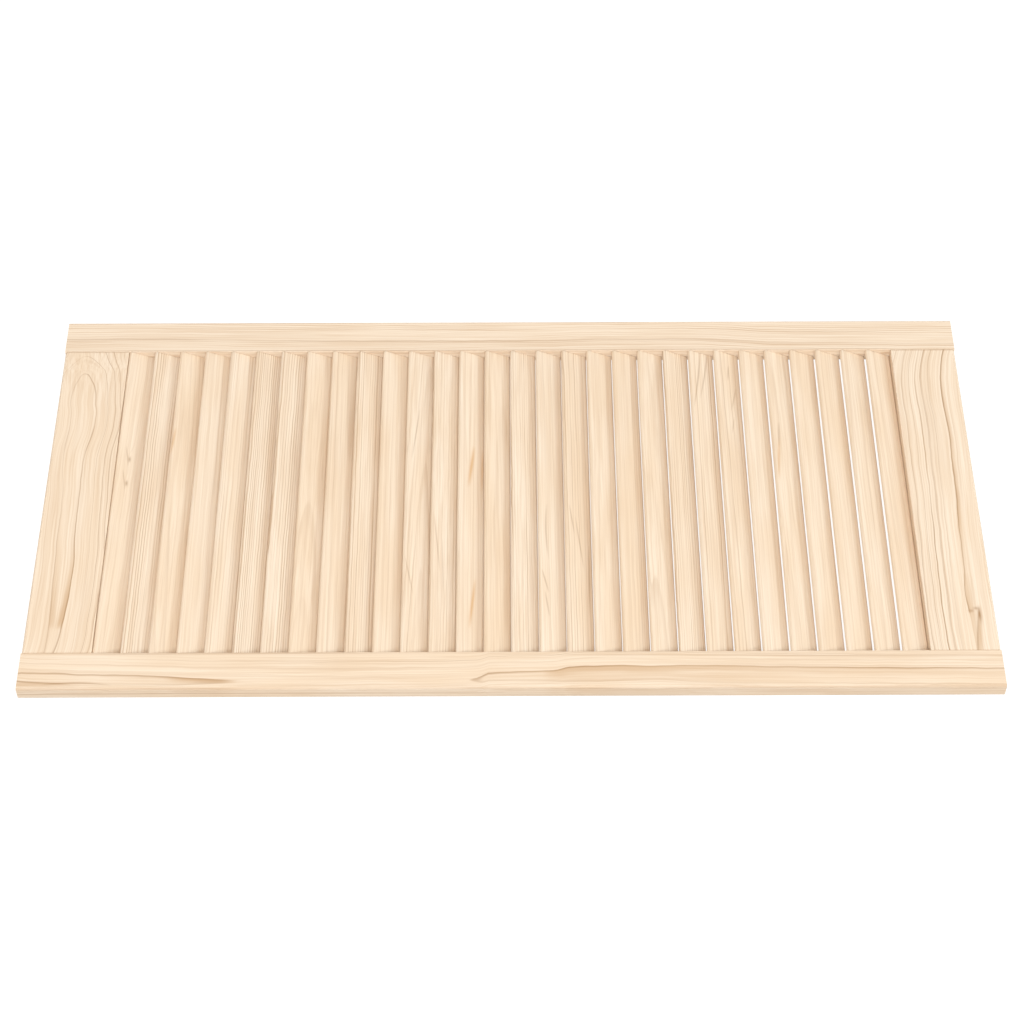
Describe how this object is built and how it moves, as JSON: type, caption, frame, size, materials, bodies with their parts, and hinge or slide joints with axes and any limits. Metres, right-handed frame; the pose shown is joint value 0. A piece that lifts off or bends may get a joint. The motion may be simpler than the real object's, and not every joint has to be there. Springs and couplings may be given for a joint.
{
  "type": "louvred cabinet door",
  "caption": "Flat rectangular cabinet door of raw pine: a doweled frame of two stiles and two rails holds a row of fixed tilted slats that let air through.",
  "frame": {"origin": "centre of the door's back face, on the surface that the door lies on", "axes": "+X along the door from the bottom rail to the top rail, +Y across it to the left stile as seen from the front with the top up, +Z out of the front face"},
  "size_m": [0.993, 0.494, 0.017],
  "materials": {
    "pine_stile": "raw planed pine",
    "pine_rail": "raw planed pine",
    "pine_slat": "raw planed pine",
    "beech_dowel": "smooth turned hardwood"
  },
  "bodies": {
    "root": {"left_stile": "pine_stile", "right_stile": "pine_stile", "top_rail": "pine_rail", "bottom_rail": "pine_rail", "slat_01": "pine_slat", "slat_02": "pine_slat", "slat_03": "pine_slat", "slat_04": "pine_slat", "slat_05": "pine_slat", "slat_06": "pine_slat", "slat_07": "pine_slat", "slat_08": "pine_slat", "slat_09": "pine_slat", "slat_10": "pine_slat", "slat_11": "pine_slat", "slat_12": "pine_slat", "slat_13": "pine_slat", "slat_14": "pine_slat", "slat_15": "pine_slat", "slat_16": "pine_slat", "slat_17": "pine_slat", "slat_18": "pine_slat", "slat_19": "pine_slat", "slat_20": "pine_slat", "slat_21": "pine_slat", "slat_22": "pine_slat", "slat_23": "pine_slat", "slat_24": "pine_slat", "slat_25": "pine_slat", "slat_26": "pine_slat", "slat_27": "pine_slat", "slat_28": "pine_slat", "slat_29": "pine_slat", "slat_30": "pine_slat", "top_left_dowels": "beech_dowel", "top_right_dowels": "beech_dowel", "bottom_left_dowels": "beech_dowel", "bottom_right_dowels": "beech_dowel"}
  },
  "joints": []
}
